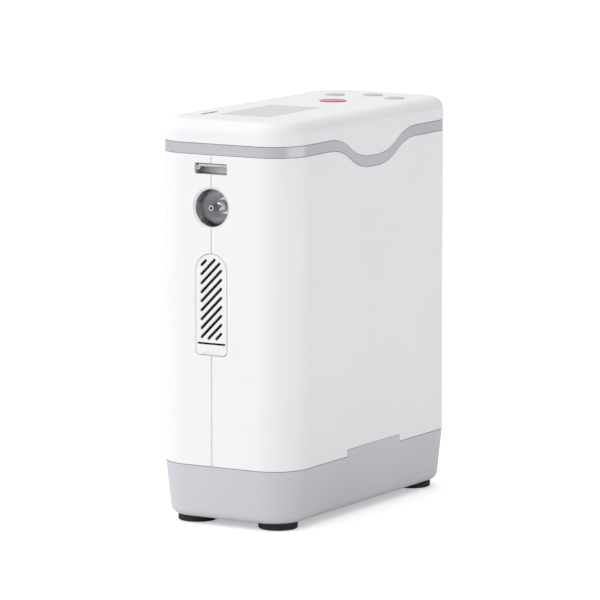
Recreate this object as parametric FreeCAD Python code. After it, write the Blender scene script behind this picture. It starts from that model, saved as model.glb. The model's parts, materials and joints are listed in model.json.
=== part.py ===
import FreeCAD, Part
import math
import os

# Oxygen concentrator: an upright cabinet on four rubber feet.
# Frame: millimetres, +Z up, origin on the floor under the middle of the cabinet.
# The narrow front face looks along -Y, the broad sides look along +X and -X.

os.makedirs("parts", exist_ok=True)

# ------------------------------------------------------------------ cabinet
case_width = 152.0          # X
case_depth = 328.0          # Y
corner_radius = 36.0
wall = 3.0
foot_height = 7.0
tray_height = 52.0
shell_height = 300.0
band_height = 10.0
cover_height = 22.5
roof_radius = 12.0
seam_gap = 0.4              # visible line between two mouldings
edge_radius = 0.6           # rounding of the mouldings' visible edges
lip_height = 4.0
lip_thickness = 2.0
lip_clearance = 0.2

tray_taper = 5.5            # how far the tray's sides lean in at the bottom
tray_edge_radius = 9.0
tray_floor = 3.5
tab_length = 102.0          # raised tab in the middle of each broad side
tab_height = 7.0

dip_depth = 21.5            # dip of the trim band on each broad side
dip_half_length = 82.0
dip_flat_half = 8.0

foot_diameter = 38.0
foot_inset_x = 31.0         # from the case side to the foot's centre
foot_inset_y = 34.0
small_screw_diameter = 2.5
pillar_diameter = 12.0
case_screw_diameter = 4.0
case_screw_grip = 20.0      # how far the screw goes into the shell's boss

# ------------------------------------------------------------------ front face
seam_x = -8.5               # the seam and the parts on it stand left of the middle
hanger_slot_width = 36.0
hanger_slot_height = 10.5
hanger_slot_drop = 13.5     # from the band down to the slot's middle
hanger_bar_diameter = 4.0
hanger_bar_gap = 0.35       # between the bar and the slot's upper edge
hanger_depth = 10.0
hanger_wall = 2.0
hanger_boss_diameter = 4.6
cup_drop = 51.0             # from the band down to the outlet's axis
cup_rim_diameter = 41.0
cup_rim_chamfer = 1.8
cup_depth = 25.0
cup_wall = 0.8
cup_clearance = 0.05
cup_floor_diameter = 16.8   # flat seat of the nozzle's flange
nozzle_bore = 3.0
nozzle_stem_diameter = 5.2
nozzle_barb_diameter = 7.0
nozzle_body_diameter = 12.0
nozzle_flange_diameter = 16.0
nozzle_thread_diameter = 10.0
grille_width = 34.0
grille_height = 97.0
grille_drop = 95.0          # from the band down to the grille's arched top
grille_thickness = 2.0
grille_clearance = 0.45
grille_slot_width = 3.0
grille_slot_pitch = 8.64
grille_slot_margin = 6.2
grille_arch_margin = 4.7
grille_first_slot = 5.2     # from the lower left corner of the slotted zone to the first slot
finger_slot_rise = 10.0
finger_slot_height = 2.0
thumb_radius = 20.0
thumb_rise = 3.6
thumb_depth = 1.2
latch_groove = 1.0          # groove in the right half shell beside and below the cover
filter_thickness = 8.0
filter_pull = 45.0          # travel that takes the cover and its foam clear of the case

# ------------------------------------------------------------------ control panel
window_width = 56.0
window_length = 101.0
window_x = -4.0
window_y = -61.0
window_thickness = 1.5
window_ledge = 3.0
window_gap = 0.2
power_diameter = 26.5
power_y = 51.0
key_diameter = 20.0
keys_x = 6.0
key_spread = 34.0
side_key_y = 103.0
middle_key_y = 119.0
button_gap = 0.45
button_rise = 0.8
button_flange = 1.8
button_flange_thickness = 1.5
button_travel = 1.2
dome_height = 6.0
strip_width = 4.0
strip_length = 27.0
strip_gap = 14.0            # from the window to the strip's middle
strip_y = -105.5
board_thickness = 1.6
board_width = 116.0
board_margin_y = 25.0

# ------------------------------------------------------------------ inside
plate_rise = 11.5
plate_thickness = 2.0
isolator_diameter = 20.0
isolator_height = 12.0
stator_diameter = 82.0
stator_bore = 56.0
stator_length = 46.0
air_gap = 0.6
shaft_diameter = 12.0
running_gap = 0.05
bearing_diameter = 32.0
bearing_width = 10.0
crankcase_size = 84.0
crankcase_length = 52.0
mount_margin = 8.0
crank_cavity_diameter = 70.0
crank_throw = 3.5
eccentric_diameter = 24.0
big_end_diameter = 36.0
big_end_width = 8.0
rod_length = 58.0
piston_diameter = 37.0
piston_thickness = 8.0
cylinder_bore = 46.0
cylinder_wall = 3.0
cylinder_height = 30.0
head_size = 62.0
head_height = 16.0
coil_half_width = 40.0
coil_pitch = 16.0
coil_passes = 5
coil_tube_diameter = 6.4
fan_size = 92.0
fan_thickness = 25.0
fan_bore_radius = 43.0
fan_hub_radius = 18.0
fan_blades = 7
fan_axle_radius = 2.0
shelf_thickness = 2.0
leg_inset = 22.0            # from the case side to the leg's middle
leg_radius = 3.0
bed_gap = 5.0
bed_wall = 2.5
bed_cap_height = 10.0
manifold_height = 26.0
manifold_depth = 50.0
coil_body_diameter = 24.0
coil_body_height = 28.0
plunger_diameter = 8.0
plunger_travel = 1.5
tank_diameter = 46.0
tank_length = 100.0
canister_diameter = 40.0
canister_height = 66.0
hose_diameter = 7.0
hose_bore = 4.5
inlet_width = 27.0
inlet_height = 20.0
inlet_depth = 26.0
inlet_plate_thickness = 2.5
inlet_corner = 4.0
inlet_gap = 0.2             # between the inlet's rim and the rear wall
inlet_rise = 28.0           # from the tray's rim up to the inlet's middle
vent_side_margin = 5.0      # from the corner's rounding to the vent
vent_height = 62.0
vent_rise = 60.0            # from the tray's rim up to the vent's lower edge
vent_clearance = 0.4

# ------------------------------------------------------------------ levels and places
tray_bottom = foot_height
shell_bottom = tray_bottom + tray_height
band_bottom = shell_bottom + shell_height
band_top = band_bottom + band_height
roof = band_top + cover_height
half_width = case_width / 2
half_depth = case_depth / 2
inner_half_width = half_width - wall
inner_half_depth = half_depth - wall
foot_x = half_width - foot_inset_x
foot_y = half_depth - foot_inset_y
far = case_width + case_depth

cup_z = band_bottom - cup_drop
cup_radius = cup_rim_diameter / 2 - cup_rim_chamfer - cup_clearance - cup_wall
cup_floor_y = -inner_half_depth + cup_depth
hanger_z = band_bottom - hanger_slot_drop
hanger_bar_z = hanger_z + (hanger_slot_height - hanger_bar_diameter) / 2 - hanger_bar_gap
hanger_bar_y = -inner_half_depth + 1.2
strip_x = window_x - window_width / 2 - strip_gap
vent_width = case_width - 2 * corner_radius - 2 * vent_side_margin - 2 * abs(seam_x)
grille_top = band_bottom - grille_drop
grille_bottom = grille_top - grille_height

board_top = roof - wall - 0.4 - button_flange_thickness - 0.1 - dome_height - 1.4
board_bottom = board_top - board_thickness
plate_bottom = tray_bottom + tray_floor + plate_rise
plate_top = plate_bottom + plate_thickness
mount_bottom = plate_top + isolator_height
crankcase_bottom = mount_bottom + 3.0
crank_z = crankcase_bottom + crankcase_size / 2
cylinder_bottom = crankcase_bottom + crankcase_size
cylinder_top = cylinder_bottom + cylinder_height
head_top = cylinder_top + head_height
coil_bottom = head_top + 13.0
fan_bottom = coil_bottom + coil_tube_diameter + 10.0
shelf_bottom = fan_bottom + fan_thickness
shelf_top = shelf_bottom + shelf_thickness
bed_diameter = inner_half_width - 1.5 * bed_gap - 2.0
bed_cap_diameter = bed_diameter + 2.0
bed_x = bed_cap_diameter / 2 + bed_gap / 2
bed_rear_limit = min(inner_half_depth - inlet_depth, foot_y - pillar_diameter / 2)
bed_y = bed_rear_limit - 2.0 - bed_cap_diameter / 2
manifold_top = board_bottom - coil_body_height - 12.0
manifold_bottom = manifold_top - manifold_height
bed_top = manifold_bottom - 1.0
bed_bottom = crankcase_bottom + 4.0
compressor_front = -inner_half_depth + 40.0
compressor_y = (compressor_front + bed_y - bed_cap_diameter / 2) / 2
inlet_z = shell_bottom + inlet_rise
riser_x = -(inner_half_width - hose_diameter / 2 - 4.0)     # hose that climbs beside the fan
riser_y = bed_y - bed_cap_diameter / 2 - hose_diameter / 2 - 1.5


# ------------------------------------------------------------------ helpers
def vec(x, y, z):
    return FreeCAD.Vector(x, y, z)


def on_seam(shape):
    """Moves a shape made about x = 0 to the seam."""
    return shape.translated(vec(seam_x, 0, 0))


def inside_case(shape):
    """Trims a shape to the room inside the walls. What stands in the front or rear wall is kept."""
    walls = block(-far, far, -inner_half_depth, inner_half_depth, -far, far).cut(case_block(wall, -far, far))
    return shape.cut(walls)


def save(name, shape):
    shape.exportStep("parts/" + name + ".step")


def group(shapes):
    return Part.makeCompound(shapes)


def pair(make):
    """The two pieces that make gives for -1 and 1, as one group."""
    return group([make(-1), make(1)])


def fuse(shapes):
    result = shapes[0]
    for shape in shapes[1:]:
        result = result.fuse(shape)
    return result.removeSplitter()


def block(x0, x1, y0, y1, z0, z1):
    return Part.makeBox(x1 - x0, y1 - y0, z1 - z0, vec(x0, y0, z0))


def slab(x, y, length_x, length_y, z0, z1):
    """A block centred on x, y."""
    return block(x - length_x / 2, x + length_x / 2, y - length_y / 2, y + length_y / 2, z0, z1)


def upright(x, y, radius, z0, z1):
    return Part.makeCylinder(radius, z1 - z0, vec(x, y, z0))


def along_y(x, z, radius, y0, y1):
    return Part.makeCylinder(radius, y1 - y0, vec(x, y0, z), vec(0, 1, 0))


def along_x(y, z, radius, x0, x1):
    return Part.makeCylinder(radius, x1 - x0, vec(x0, y, z), vec(1, 0, 0))


def rounded_box(width, depth, radius, z0, z1, x=0.0, y=0.0):
    """A block centred on x, y whose upright edges are rounded."""
    box = slab(x, y, width, depth, z0, z1)
    uprights = [edge for edge in box.Edges if edge.BoundBox.ZLength > 0.9 * (z1 - z0)]
    return box.makeFillet(radius, uprights)


def round_edges_at(shape, z, radius):
    """Rounds the edges that lie at height z."""
    level = [edge for edge in shape.Edges if edge.BoundBox.ZMax - z < 0.01 and z - edge.BoundBox.ZMin < 0.01]
    return shape.makeFillet(radius, level)


def round_edges_y(shape, y, radius):
    """Rounds the edges that lie in the upright plane at y."""
    level = [edge for edge in shape.Edges if edge.BoundBox.YMax - y < 0.01 and y - edge.BoundBox.YMin < 0.01]
    return shape.makeFillet(radius, level)


def rounded_outline(width, depth, radius, z):
    """A closed wire of four lines and four arcs at height z."""
    a, b = width / 2 - radius, depth / 2 - radius
    turn = radius * math.sqrt(0.5)
    edges = []
    for sx, sy in ((1, 1), (-1, 1), (-1, -1), (1, -1)):
        on_x = vec(sx * (a + radius), sy * b, z)
        on_y = vec(sx * a, sy * (b + radius), z)
        middle = vec(sx * (a + turn), sy * (b + turn), z)
        start, end = (on_x, on_y) if sx * sy > 0 else (on_y, on_x)
        if edges:
            edges.append(Part.LineSegment(last, start).toShape())
        else:
            first = start
        edges.append(Part.Arc(start, middle, end).toShape())
        last = end
    edges.append(Part.LineSegment(last, first).toShape())
    return Part.Wire(edges)


def s_curve(y0, z0, y1, z1):
    """Two equal arcs that leave (y0, z0) and reach (y1, z1) running level."""
    run = (y1 - y0) / 2
    rise = (z1 - z0) / 2
    radius = (run ** 2 + rise ** 2) / (2 * abs(rise))
    turn = math.asin(abs(run) / radius) / 2
    across = radius * math.sin(turn)
    drop = math.copysign(radius * (1 - math.cos(turn)), rise)
    middle = vec(0, y0 + run, z0 + rise)
    return [
        Part.Arc(vec(0, y0, z0), vec(0, y0 + across, z0 + drop), middle).toShape(),
        Part.Arc(middle, vec(0, y1 - across, z1 - drop), vec(0, y1, z1)).toShape(),
    ]


def above_wave(level):
    """Everything above the line that runs level and dips in the middle of the broad sides."""
    low = level - dip_depth
    corners = [vec(0, -far, level), vec(0, -dip_half_length, level)]
    bottom = [vec(0, -dip_flat_half, low), vec(0, dip_flat_half, low)]
    rest = [vec(0, dip_half_length, level), vec(0, far, level), vec(0, far, level + far),
            vec(0, -far, level + far), vec(0, -far, level)]
    edges = [Part.LineSegment(corners[0], corners[1]).toShape()]
    edges += s_curve(-dip_half_length, level, -dip_flat_half, low)
    edges.append(Part.LineSegment(bottom[0], bottom[1]).toShape())
    edges += s_curve(dip_flat_half, low, dip_half_length, level)
    edges += [Part.LineSegment(p, q).toShape() for p, q in zip(rest, rest[1:])]
    face = Part.Face(Part.Wire(edges))
    face.translate(vec(-far, 0, 0))
    return face.extrude(vec(2 * far, 0, 0))


def case_block(inset, z0, z1):
    """The case's rounded outline, moved in by inset, between two heights."""
    return rounded_box(case_width - 2 * inset, case_depth - 2 * inset, corner_radius - inset, z0, z1)


def tube(points, outer, inner, bend):
    """A pipe along straight runs with rounded bends."""
    pts = [vec(*p) for p in points]
    edges = []
    start = pts[0]
    for before, corner, after in zip(pts, pts[1:], pts[2:]):
        to_before = (before - corner).normalize()
        to_after = (after - corner).normalize()
        half_angle = to_before.getAngle(to_after) / 2
        setback = bend / math.tan(half_angle)
        leave = corner + to_before * setback
        arrive = corner + to_after * setback
        centre = corner + (to_before + to_after).normalize() * (bend / math.sin(half_angle))
        middle = centre + (corner - centre).normalize() * bend
        edges.append(Part.LineSegment(start, leave).toShape())
        edges.append(Part.Arc(leave, middle, arrive).toShape())
        start = arrive
    edges.append(Part.LineSegment(start, pts[-1]).toShape())
    path = Part.Wire(edges)
    direction = (pts[1] - pts[0]).normalize()
    rim = Part.Wire(Part.makeCircle(outer / 2, pts[0], direction))
    solid = path.makePipeShell([rim], True, False)
    if inner > 0:
        hole = Part.Wire(Part.makeCircle(inner / 2, pts[0], direction))
        solid = solid.cut(path.makePipeShell([hole], True, False))
    return solid


def arch_plate(width, z0, z1, y0, y1, foot_radius):
    """A plate facing -Y with a half-round top and slightly rounded lower corners."""
    half = width / 2
    r = foot_radius
    turn = r * (1 - math.sqrt(0.5))
    spring = z1 - half
    edges = [
        Part.LineSegment(vec(-half + r, y0, z0), vec(half - r, y0, z0)).toShape(),
        Part.Arc(vec(half - r, y0, z0), vec(half - turn, y0, z0 + turn), vec(half, y0, z0 + r)).toShape(),
        Part.LineSegment(vec(half, y0, z0 + r), vec(half, y0, spring)).toShape(),
        Part.Arc(vec(half, y0, spring), vec(0, y0, z1), vec(-half, y0, spring)).toShape(),
        Part.LineSegment(vec(-half, y0, spring), vec(-half, y0, z0 + r)).toShape(),
        Part.Arc(vec(-half, y0, z0 + r), vec(-half + turn, y0, z0 + turn), vec(-half + r, y0, z0)).toShape(),
    ]
    return Part.Face(Part.Wire(edges)).extrude(vec(0, y1 - y0, 0))


def pan_head_screw(x, y, z_head, z_tip, diameter):
    """An upright screw, head at z_head, tip at z_tip."""
    up = 1 if z_tip > z_head else -1
    head_height = 0.6 * diameter
    z_shank = z_head + up * head_height
    head = upright(x, y, diameter, min(z_head, z_shank), max(z_head, z_shank))
    shank = upright(x, y, diameter / 2, min(z_shank, z_tip), max(z_shank, z_tip))
    slot = slab(x, y, diameter * 1.4, 0.8, min(z_head, z_head + up * 0.8), max(z_head, z_head + up * 0.8))
    return fuse([head, shank]).cut(slot)


def corners(x, y):
    return [(sx * x, sy * y) for sx in (-1, 1) for sy in (-1, 1)]


# ------------------------------------------------------------------ base tray and feet
def tray_outline(inset, z):
    lean = tray_taper * (shell_bottom - z) / tray_height + inset
    return rounded_outline(case_width - 2 * lean, case_depth - 2 * lean, corner_radius - lean, z)


def make_base_tray():
    outer = Part.makeLoft([tray_outline(0, tray_bottom), tray_outline(0, shell_bottom)], True, True)
    outer = round_edges_at(outer, tray_bottom, tray_edge_radius)
    floor_top = tray_bottom + tray_floor
    hollow = Part.makeLoft([tray_outline(wall + tray_edge_radius / 3, floor_top),
                            tray_outline(wall, shell_bottom)], True, True)
    body = outer.cut(hollow)
    lip_in = wall + lip_clearance
    lip = case_block(lip_in, shell_bottom - 2 * lip_height, shell_bottom + lip_height)
    lip = lip.cut(case_block(lip_in + lip_thickness, tray_bottom, band_bottom))
    pieces = [body, lip]
    for side in (-1, 1):
        low, high = sorted((side * (half_width - wall - 1.0), side * half_width))
        tab_top = shell_bottom + tab_height
        pieces.append(block(low, high, -tab_length / 2, tab_length / 2, shell_bottom - 0.5, tab_top))
    for x, y in corners(foot_x, foot_y):
        pieces.append(upright(x, y, pillar_diameter / 2, floor_top - 0.5, shell_bottom + lip_height))
    for x, y in corners(foot_x, compressor_half_span()):
        pieces.append(upright(x, compressor_y + y, 5.0, floor_top - 0.5, plate_bottom))
    body = fuse(pieces)
    for x, y in corners(foot_x, foot_y):
        hole = upright(x, y, case_screw_diameter / 2 + 0.1, tray_bottom - 1, shell_bottom + 2 * lip_height)
        body = body.cut(hole)
    return body


def compressor_half_span():
    """Half the distance in Y between the compressor's isolators."""
    return stator_length / 2 + crankcase_length / 2


def make_foot(x, y):
    foot = upright(x, y, foot_diameter / 2, 0, foot_height)
    foot = round_edges_at(foot, 0, 2.0)
    foot = foot.cut(upright(x, y, case_screw_diameter + 0.5, -1, foot_height - 3.0))
    return foot.cut(upright(x, y, case_screw_diameter / 2 + 0.1, -1, foot_height + 1))


def make_case_screws():
    tip = shell_bottom + lip_height + case_screw_grip
    seat = foot_height - 3.0 - 0.6 * case_screw_diameter
    return group([pan_head_screw(x, y, seat, tip, case_screw_diameter) for x, y in corners(foot_x, foot_y)])


# ------------------------------------------------------------------ shells
def shell_bosses():
    """Bosses that take the case screws, each with a rib to its wall."""
    z0 = shell_bottom + lip_height + 0.1
    z1 = z0 + case_screw_grip + 4.0
    pieces = []
    for x, y in corners(foot_x, foot_y):
        reach = math.copysign(half_width - 1.0, x)
        pieces.append(upright(x, y, pillar_diameter / 2, z0, z1))
        rib = block(min(x, reach), max(x, reach), y - 1.5, y + 1.5, z0 + 0.1, z1)
        pieces.append(rib.common(case_block(0.5, z0, z1)).cut(case_block_lip_zone()))
    return pieces


def case_block_lip_zone():
    """Where the tray's lip stands, so that ribs stay clear of it."""
    top = shell_bottom + lip_height + 0.3
    zone = case_block(0, shell_bottom - 1, top)
    return zone.cut(case_block(wall + lip_clearance + lip_thickness + 0.3, shell_bottom - 2, top + 1))


def front_openings():
    """Hanger slot, outlet rim and grille opening, cut through the front wall at the seam."""
    front = -half_depth
    y0, y1 = front - 1, -inner_half_depth + 1
    slot = rounded_plate_y(hanger_slot_width, hanger_slot_height, 1.2, y0, y1, hanger_z)
    throat_radius = cup_radius + cup_wall + cup_clearance
    rim = Part.makeCone(cup_rim_diameter / 2, throat_radius, cup_rim_chamfer, vec(0, front, cup_z), vec(0, 1, 0))
    throat = along_y(0, cup_z, throat_radius, front, y1)
    gap = grille_clearance
    arch = arch_plate(grille_width + 2 * gap, grille_bottom - gap, grille_top + gap, y0, y1, 5.0)
    gap += edge_radius
    low, high = grille_bottom - gap, grille_top + gap
    step = arch_plate(grille_width + 2 * gap, low, high, y0, front + edge_radius, 5.0)
    step = round_edges_y(step, front + edge_radius, 0.95 * edge_radius)
    beside = block(seam_gap / 2, seam_gap / 2 + latch_groove, y0, front + latch_groove,
                   grille_bottom - 8 * latch_groove, grille_bottom)
    below = block(seam_gap / 2, grille_width / 2 - 5.0, y0, front + latch_groove,
                  grille_bottom - grille_clearance - latch_groove, grille_bottom)
    return [on_seam(opening) for opening in (slot, rim, throat, arch, step, beside, below)]


def rear_openings():
    """Inlet with its screw seats and exhaust panel, cut through the rear wall at the seam."""
    y0, y1 = inner_half_depth - 1, half_depth + 1
    width, height = inlet_width + 2 * inlet_gap, inlet_height + 2 * inlet_gap
    socket = rounded_plate_y(width, height, inlet_corner + inlet_gap, y0, y1, inlet_z)
    seats = [screw.cut(block(-far, far, 0, y0, 0, far)) for screw in inlet_screw_solids(False)]
    vent_z = shell_bottom + vent_rise
    vent = block(-vent_width / 2, vent_width / 2, y0, y1, vent_z, vent_z + vent_height)
    return [on_seam(opening) for opening in [socket, vent] + seats]


def seam_groove():
    """A shallow V along the seam on both narrow faces, which breaks the half shells' edges."""
    grooves = []
    side = seam_gap + 2 * edge_radius
    for y in (-half_depth, half_depth):
        bar = block(-side / 2, side / 2, -side / 2, side / 2, 0, shell_height)
        bar.rotate(vec(0, 0, 0), vec(0, 0, 1), 45)
        bar.translate(vec(seam_x, y + math.copysign(seam_gap / 2, y), shell_bottom))
        grooves.append(bar)
    return group(grooves)


def round_top_edges(body):
    """Rounds the edges around the faces that look upwards."""
    edges = []
    for face in body.Faces:
        middle = face.Surface.parameter(face.CenterOfMass)
        if face.normalAt(*middle).z > 0.3:
            edges += [edge for edge in face.Edges if on_case_outline(edge)]
    return body.makeFillet(edge_radius, edges)


def round_bottom_edges(body):
    """Rounds the outer edges around the faces that look downwards."""
    edges = []
    for face in body.Faces:
        middle = face.Surface.parameter(face.CenterOfMass)
        if face.normalAt(*middle).z < -0.3:
            edges += [edge for edge in face.Edges if on_case_outline(edge)]
    return body.makeFillet(edge_radius, edges)


def on_case_outline(edge):
    """True for an edge that runs along the case's outer surface."""
    point = edge.valueAt((edge.FirstParameter + edge.LastParameter) / 2)
    x, y = abs(point.x), abs(point.y)
    across = max(x - (half_width - corner_radius), 0.0)
    along = max(y - (half_depth - corner_radius), 0.0)
    if across > 0 and along > 0:
        return math.hypot(across, along) > corner_radius - 0.01
    return x > half_width - 0.01 or y > half_depth - 0.01


def make_shells():
    bottom = shell_bottom + seam_gap
    body = case_block(0, bottom, band_bottom).cut(above_wave(band_bottom - seam_gap))
    body = round_edges_at(round_top_edges(body), bottom, edge_radius)
    body = body.cut(case_block(wall, shell_bottom, band_bottom))
    body = body.cut(seam_groove())
    for side in (-1, 1):
        low, high = sorted((side * (half_width - wall - 2.0), side * (half_width + 1.0)))
        notch = block(low, high, -tab_length / 2 - seam_gap, tab_length / 2 + seam_gap,
                      shell_bottom, shell_bottom + tab_height + seam_gap)
        body = body.cut(notch)
    body = fuse([body] + shell_bosses())
    for opening in front_openings() + rear_openings():
        body = body.cut(opening)
    for x, y in corners(foot_x, foot_y):
        body = body.cut(upright(x, y, case_screw_diameter / 2 + 0.1, shell_bottom,
                                shell_bottom + lip_height + case_screw_grip + 1.0))
    left = body.common(block(-far, seam_x - seam_gap / 2, -far, far, 0, far))
    left = fuse([left] + [on_seam(strip) for strip in seam_tongues()])
    right = body.common(block(seam_x + seam_gap / 2, far, -far, far, 0, far))
    return left, right


def seam_tongues():
    """Upright strips of the left half that stand behind the right half's edge."""
    spans = [
        (-1, shell_bottom + 2 * lip_height, grille_bottom - 10),
        (-1, grille_top + 10, cup_z - cup_rim_diameter / 2 - 6),
        (1, shell_bottom + vent_rise + vent_height + 8, band_bottom - 3 * lip_height),
    ]
    strips = []
    for side, z0, z1 in spans:
        root0, root1 = sorted((side * (inner_half_depth + 1.0), side * (inner_half_depth - 1.6)))
        edge0, edge1 = sorted((side * (inner_half_depth - 0.1), side * (inner_half_depth - 1.6)))
        strips.append(block(-6, -seam_gap / 2 - 0.5, root0, root1, z0, z1))
        strips.append(block(-1, 5, edge0, edge1, z0, z1))
    return strips


# ------------------------------------------------------------------ trim band and top cover
def make_trim_band():
    outer_in = 0.3
    inner_in = wall + lip_clearance + lip_thickness
    ring = case_block(outer_in, shell_bottom, roof).cut(case_block(inner_in, shell_bottom - 1, roof + 1))
    ring = ring.common(above_wave(band_bottom)).cut(above_wave(band_top))
    lip = case_block(wall + lip_clearance, shell_bottom, roof)
    lip = lip.cut(case_block(inner_in, shell_bottom - 1, roof + 1))
    lip = lip.common(above_wave(band_bottom - lip_height)).cut(above_wave(band_top + lip_height))
    return fuse([ring, lip])


def button_places():
    """Name, centre and diameter of each button."""
    return [
        ("power_button", 0.0, power_y, power_diameter),
        ("key_left", keys_x - key_spread, side_key_y, key_diameter),
        ("key_middle", keys_x, middle_key_y, key_diameter),
        ("key_right", keys_x + key_spread, side_key_y, key_diameter),
    ]


def board_posts():
    y_low, y_high = board_span()
    return [(x, y) for x in (-board_width / 2 + 5, board_width / 2 - 5) for y in (y_low + 5, y_high - 5)]


def board_span():
    return -inner_half_depth + board_margin_y, inner_half_depth - board_margin_y


def make_top_cover():
    low = band_top - dip_depth
    outer = round_edges_at(case_block(0, low, roof), roof, roof_radius)
    inner = round_edges_at(case_block(wall, low - 1, roof - wall), roof - wall, roof_radius - wall)
    body = round_bottom_edges(outer.common(above_wave(band_top + seam_gap))).cut(inner)
    body = fuse([body] + [upright(x, y, 3.5, board_top, roof - wall + 0.5) for x, y in board_posts()])
    window = slab(window_x, window_y, window_width, window_length, roof - window_thickness, roof + 1)
    opening = slab(window_x, window_y, window_width - 2 * window_ledge, window_length - 2 * window_ledge,
                   roof - wall - 1, roof)
    body = body.cut(window).cut(opening)
    for name, x, y, diameter in button_places():
        body = body.cut(upright(x, y, diameter / 2 + button_gap, roof - wall - 1, roof + 1))
    strip = slab(strip_x, strip_y, strip_width, strip_length, roof - wall - 1, roof + 1)
    body = body.cut(strip)
    for x, y in board_posts():
        body = body.cut(upright(x, y, small_screw_diameter / 2, board_top - 1, roof - wall - 1))
    return body


# ------------------------------------------------------------------ control panel
def make_display_window():
    pane = rounded_box(window_width - 2 * window_gap, window_length - 2 * window_gap, 1.0,
                       roof - window_thickness, roof - 0.1, window_x, window_y)
    return round_edges_at(pane, roof - 0.1, 0.3)


def make_display_module():
    return slab(window_x, window_y, window_width - 4, window_length - 4, board_top, roof - wall - 0.4)


def make_status_strip():
    stem = slab(strip_x, strip_y, strip_width - 0.2, strip_length - 0.2, roof - wall, roof + 0.2)
    foot = slab(strip_x, strip_y, strip_width + 3, strip_length + 3, roof - wall - 1.5, roof - wall)
    return fuse([stem, foot])


def make_button(x, y, diameter):
    cap = upright(x, y, diameter / 2, roof - wall - 0.5, roof + button_rise)
    cap = round_edges_at(cap, roof + button_rise, 0.9)
    flange_top = roof - wall - 0.4
    flange = upright(x, y, diameter / 2 + button_flange, flange_top - button_flange_thickness, flange_top)
    return fuse([cap, flange])


def make_dome(x, y, diameter):
    """Silicone spring under a button."""
    top = roof - wall - 0.4 - button_flange_thickness - 0.1
    outer = Part.makeCone(diameter / 2 - 2, diameter / 2 - 5, top - board_top, vec(x, y, board_top))
    inner = Part.makeCone(diameter / 2 - 3.5, diameter / 2 - 6.5, top - board_top - 1.2, vec(x, y, board_top))
    return outer.cut(inner)


def make_control_board():
    y_low, y_high = board_span()
    board = block(-board_width / 2, board_width / 2, y_low, y_high, board_bottom, board_top)
    for x, y in board_posts():
        board = board.cut(upright(x, y, small_screw_diameter / 2 + 0.2, board_bottom - 1, board_top + 1))
    return board


def board_screws():
    head = board_bottom - 0.6 * small_screw_diameter
    return [pan_head_screw(x, y, head, board_top + 5, small_screw_diameter) for x, y in board_posts()]


# ------------------------------------------------------------------ front face parts
def make_hanger_bracket():
    """Metal channel behind the slot, closed at the back, with a flange all round and a hollow rivet."""
    y0 = -inner_half_depth
    half_w = hanger_slot_width / 2 + hanger_wall
    half_h = hanger_slot_height / 2 + hanger_wall
    low, high = hanger_z - half_h, hanger_z + half_h
    channel = block(-half_w, half_w, y0, y0 + hanger_depth, low, high)
    flange = block(-half_w - 5, half_w + 5, y0, y0 + 1.2, low, high)
    side = half_w - hanger_wall - 0.6
    hollow = block(-side, side, y0 - 1, y0 + hanger_depth - 1.2, low + hanger_wall, high - hanger_wall)
    body = fuse([fuse([channel, flange]).cut(hollow), hanger_boss()])
    x, z = hanger_boss_place()
    return body.cut(along_y(x, z, hanger_boss_diameter / 6, y0 - 3, y0 + 3))


def hanger_boss_place():
    return -hanger_slot_width / 2 + hanger_boss_diameter / 2 + 0.6, hanger_z + 0.8


def hanger_boss():
    """Rivet that stands in the left end of the slot and holds the bar."""
    x, z = hanger_boss_place()
    y0 = -inner_half_depth - 1.4
    boss = along_y(x, z, hanger_boss_diameter / 2, y0, -inner_half_depth + hanger_depth - 1)
    return round_edges_y(boss, y0, 0.5)


def make_hanger_bar():
    x = hanger_boss_place()[0]
    bar = along_x(hanger_bar_y, hanger_bar_z, hanger_bar_diameter / 2, x, hanger_slot_width / 2 - 0.6)
    return bar.cut(hanger_boss())


def make_outlet_cup():
    """Spun bowl: a straight mouth, a part sphere and a flat seat for the nozzle."""
    back = -inner_half_depth
    mouth = -half_depth + cup_rim_chamfer
    seat = cup_floor_diameter / 2
    hole = nozzle_thread_diameter / 2 + 0.1
    centre = cup_floor_y - math.sqrt(cup_radius ** 2 - seat ** 2)
    outside = cup_radius + cup_wall
    seat_outside = math.sqrt(outside ** 2 - (cup_floor_y + cup_wall - centre) ** 2)
    flange = cup_rim_diameter / 2 + 3
    inner_arc = bowl_arc(centre, cup_radius, cup_radius, seat)
    outer_arc = bowl_arc(centre, outside, seat_outside, outside)
    corner_points = [
        (seat, cup_floor_y), (hole, cup_floor_y), (hole, cup_floor_y + cup_wall),
        (seat_outside, cup_floor_y + cup_wall),
    ]
    rim_points = [
        (outside, centre), (outside, back + cup_wall), (flange, back + cup_wall), (flange, back),
        (outside, back), (outside, mouth), (cup_radius, mouth), (cup_radius, centre),
    ]
    edges = [inner_arc] + lines(corner_points) + [outer_arc] + lines(rim_points)
    return Part.Face(Part.Wire(edges)).revolve(vec(0, 0, cup_z), vec(0, 1, 0), 360)


def bowl_arc(centre, radius, first, last):
    """Arc of a bowl's section about y = centre, from one distance off the axis to another."""
    def point(distance):
        return vec(distance, centre + math.sqrt(max(radius ** 2 - distance ** 2, 0.0)), cup_z)
    return Part.Arc(point(first), point((first + last) / 2), point(last)).toShape()


def lines(points):
    """Straight edges through points given as distance off the outlet's axis and y."""
    spots = [vec(r, y, cup_z) for r, y in points]
    return [Part.LineSegment(a, b).toShape() for a, b in zip(spots, spots[1:])]


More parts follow.
